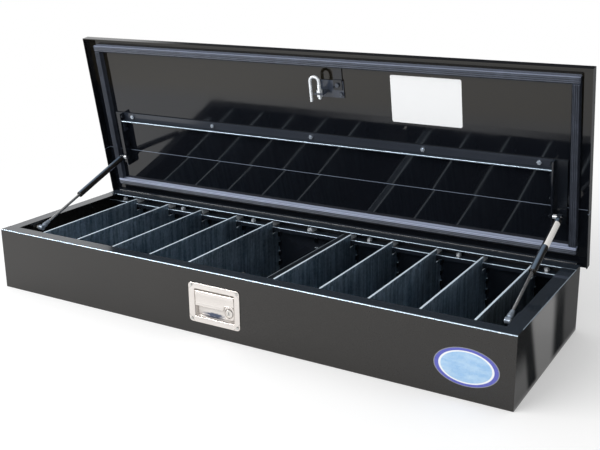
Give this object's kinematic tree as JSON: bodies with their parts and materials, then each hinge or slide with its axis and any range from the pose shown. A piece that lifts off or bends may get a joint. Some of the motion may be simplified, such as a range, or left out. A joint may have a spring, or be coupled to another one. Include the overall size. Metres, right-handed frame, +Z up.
{
  "type": "truck tool box",
  "caption": "Long low truck bed tool box with a hinged lid on two gas struts, galvanised divider plates, rubber lid seals and a flush paddle latch.",
  "frame": {"origin": "centre of the underside of the box", "axes": "+X along the box to the right seen from the latch side, -Y out of the latch side, +Z up"},
  "size_m": [1.5572, 0.5168, 0.6805],
  "materials": {
    "black_powder_coat": "gloss black powder coat on folded sheet steel",
    "galvanised": "galvanised sheet with bright hemmed edges",
    "polished_stainless": "polished stainless pressing",
    "zinc_plate": "bright zinc plated steel",
    "seal_rubber": "ribbed black sponge rubber",
    "strut_lacquer": "gloss black lacquer",
    "hard_chrome": "ground and chromed rod",
    "white_label": "blank white self-adhesive label",
    "badge_film": "blank oval sticker, blue border and pale middle"
  },
  "bodies": {
    "box": {"front_panel": "black_powder_coat", "rear_panel": "black_powder_coat", "floor_panel": "black_powder_coat", "left_end_panel": "black_powder_coat", "right_end_panel": "black_powder_coat", "rear_ledge": "black_powder_coat", "ledge_bolts": "zinc_plate", "ledge_gussets": "galvanised", "divider_guides": "galvanised", "divider_1": "galvanised", "divider_2": "galvanised", "divider_3": "galvanised", "divider_4": "galvanised", "divider_5": "galvanised", "divider_6": "galvanised", "divider_7": "galvanised", "divider_8": "galvanised", "divider_9": "galvanised", "divider_10": "galvanised", "hinge_box_leaf": "black_powder_coat", "hinge_pin": "zinc_plate", "box_studs": "zinc_plate", "strut_brackets": "black_powder_coat", "latch_gasket": "seal_rubber", "latch_dish": "polished_stainless", "latch_rivets": "polished_stainless", "latch_case": "zinc_plate", "latch_pins": "zinc_plate", "front_badge": "badge_film"},
    "lid": {"lid_panel": "black_powder_coat", "front_seal": "seal_rubber", "rear_seal": "seal_rubber", "left_seal": "seal_rubber", "right_seal": "seal_rubber", "lid_label": "white_label", "left_lid_bracket": "black_powder_coat", "right_lid_bracket": "black_powder_coat", "tie_bar": "black_powder_coat", "tie_bar_nuts": "zinc_plate", "bracket_bolts": "zinc_plate", "striker_bracket": "black_powder_coat", "striker_strap": "black_powder_coat", "striker_hook": "zinc_plate", "striker_nuts": "zinc_plate", "hinge_lid_leaf": "black_powder_coat"},
    "left_rod": {"left_strut_rod": "hard_chrome", "left_rod_socket": "zinc_plate"},
    "left_tube": {"left_strut_tube": "strut_lacquer", "left_tube_socket": "zinc_plate", "left_lid_stud": "zinc_plate"},
    "right_rod": {"right_strut_rod": "hard_chrome", "right_rod_socket": "zinc_plate"},
    "right_tube": {"right_strut_tube": "strut_lacquer", "right_tube_socket": "zinc_plate", "right_lid_stud": "zinc_plate", "strut_label": "white_label"},
    "paddle": {"paddle": "polished_stainless", "lock_barrel": "polished_stainless"},
    "lock_plug": {"lock_plug": "zinc_plate"},
    "latch_hook": {"latch_hook": "zinc_plate"}
  },
  "joints": [
    {"name": "lid_hinge", "type": "hinge", "parent": "box", "child": "lid", "pos_m": [0, 0.25, 0.175], "axis": [-1, 0, 0], "range_deg": [-80.2, 0], "stiffness_Nm_per_rad": 20, "springref_deg": 28.65},
    {"name": "left_strut_swing", "type": "hinge", "parent": "box", "child": "left_rod", "pos_m": [-0.707, -0.143, 0.1595], "axis": [1, 0, 0], "range_deg": [-17.9, 0.1]},
    {"name": "left_strut_slide", "type": "slide", "parent": "left_rod", "child": "left_tube", "axis": [0, 0.9364, 0.3509], "range_m": [-0.1256, 0.0001]},
    {"name": "right_strut_swing", "type": "hinge", "parent": "box", "child": "right_rod", "pos_m": [0.707, -0.143, 0.1595], "axis": [1, 0, 0], "range_deg": [-17.9, 0.1]},
    {"name": "right_strut_slide", "type": "slide", "parent": "right_rod", "child": "right_tube", "axis": [0, 0.9364, 0.3509], "range_m": [-0.1256, 0.0001]},
    {"name": "paddle_pull", "type": "hinge", "parent": "box", "child": "paddle", "pos_m": [-0.013, -0.24, 0.1175], "axis": [-1, 0, 0], "range_deg": [0, 28], "stiffness_Nm_per_rad": 0.4, "springref_deg": -22.92},
    {"name": "lock_turn", "type": "hinge", "parent": "paddle", "child": "lock_plug", "pos_m": [0.032, -0.243, 0.075], "axis": [0, -1, 0], "range_deg": [0, 90]},
    {"name": "hook_release", "type": "hinge", "parent": "box", "child": "latch_hook", "pos_m": [0.0445, -0.208, 0.1115], "axis": [1, 0, 0], "range_deg": [0, 34], "stiffness_Nm_per_rad": 0.3, "springref_deg": -22.92}
  ],
  "couplings": [
    {"joint": "left_strut_swing", "follows": "lid_hinge", "ratio": 0.2228},
    {"joint": "left_strut_slide", "follows": "lid_hinge", "m_per_rad": 0.089665},
    {"joint": "right_strut_swing", "follows": "lid_hinge", "ratio": 0.2228},
    {"joint": "right_strut_slide", "follows": "lid_hinge", "m_per_rad": 0.089665},
    {"joint": "hook_release", "follows": "paddle_pull", "ratio": 1.2}
  ]
}
